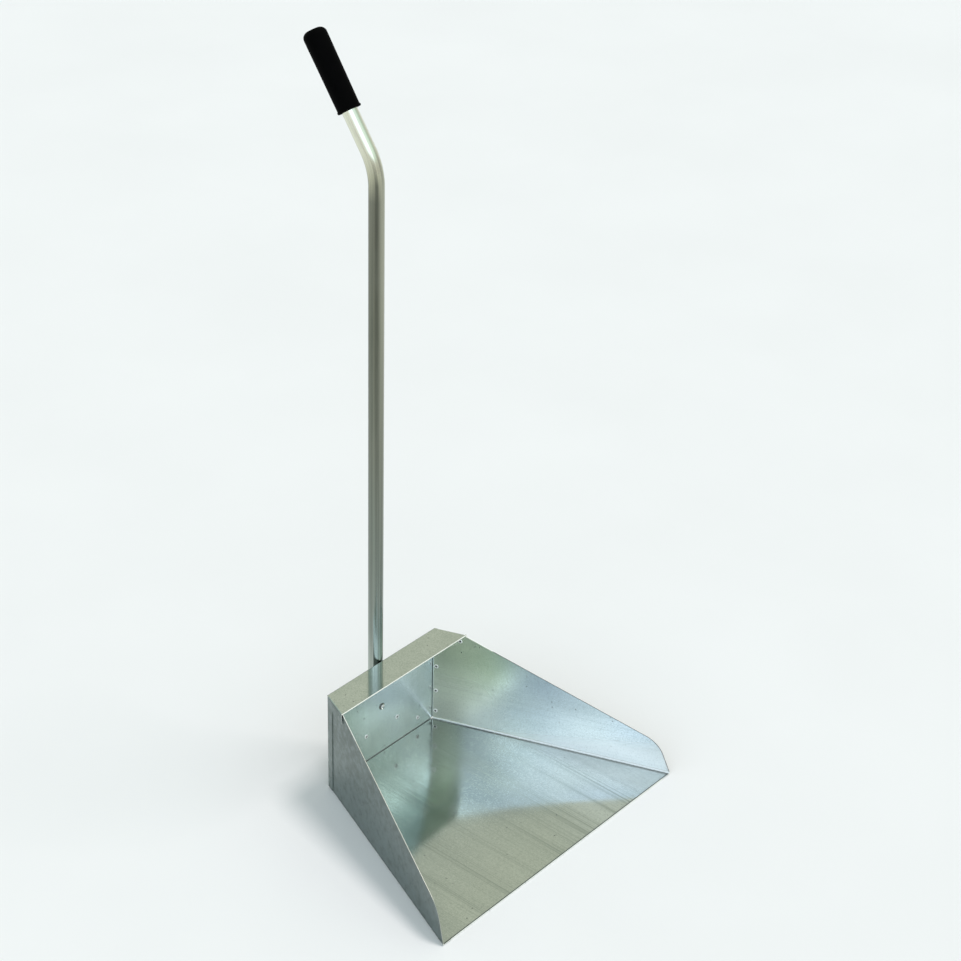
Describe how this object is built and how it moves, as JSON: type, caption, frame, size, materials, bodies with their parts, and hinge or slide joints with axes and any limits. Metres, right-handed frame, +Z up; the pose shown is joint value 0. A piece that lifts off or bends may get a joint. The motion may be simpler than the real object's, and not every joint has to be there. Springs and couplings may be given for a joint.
{
  "type": "lobby dustpan",
  "caption": "Upright lobby dustpan: flared galvanised sheet pan with a short hood, riveted back panel and a tall bent tube handle with a moulded grip.",
  "frame": {"origin": "middle of the flat floor's underside, on the symmetry plane; the folded lip reaches one sheet thickness lower", "axes": "+X to the right seen from the mouth, +Y from the mouth towards the back panel and handle, +Z up along the handle"},
  "size_m": [0.438, 0.4213, 0.9642],
  "materials": {
    "galvanised_sheet": "bright galvanised sheet, long rolling streaks, light handling marks",
    "zinc_tube": "bright zinc-plated tube, fine lengthwise streaks",
    "zinc_hardware": "zinc-plated steel",
    "rivet": "satin aluminium",
    "grip": "smooth black moulded vinyl, slight sheen"
  },
  "bodies": {
    "root": {"pan_sheet": "galvanised_sheet", "back_hood_sheet": "galvanised_sheet", "handle_tube": "zinc_tube", "hand_grip": "grip", "handle_saddle": "zinc_hardware", "handle_bolt": "zinc_hardware", "handle_washer": "zinc_hardware", "handle_nut": "zinc_hardware", "left_side_rivets": "rivet", "right_side_rivets": "rivet", "hood_rivets": "rivet", "rear_flange_rivets": "rivet", "saddle_rivets": "rivet"}
  },
  "joints": []
}
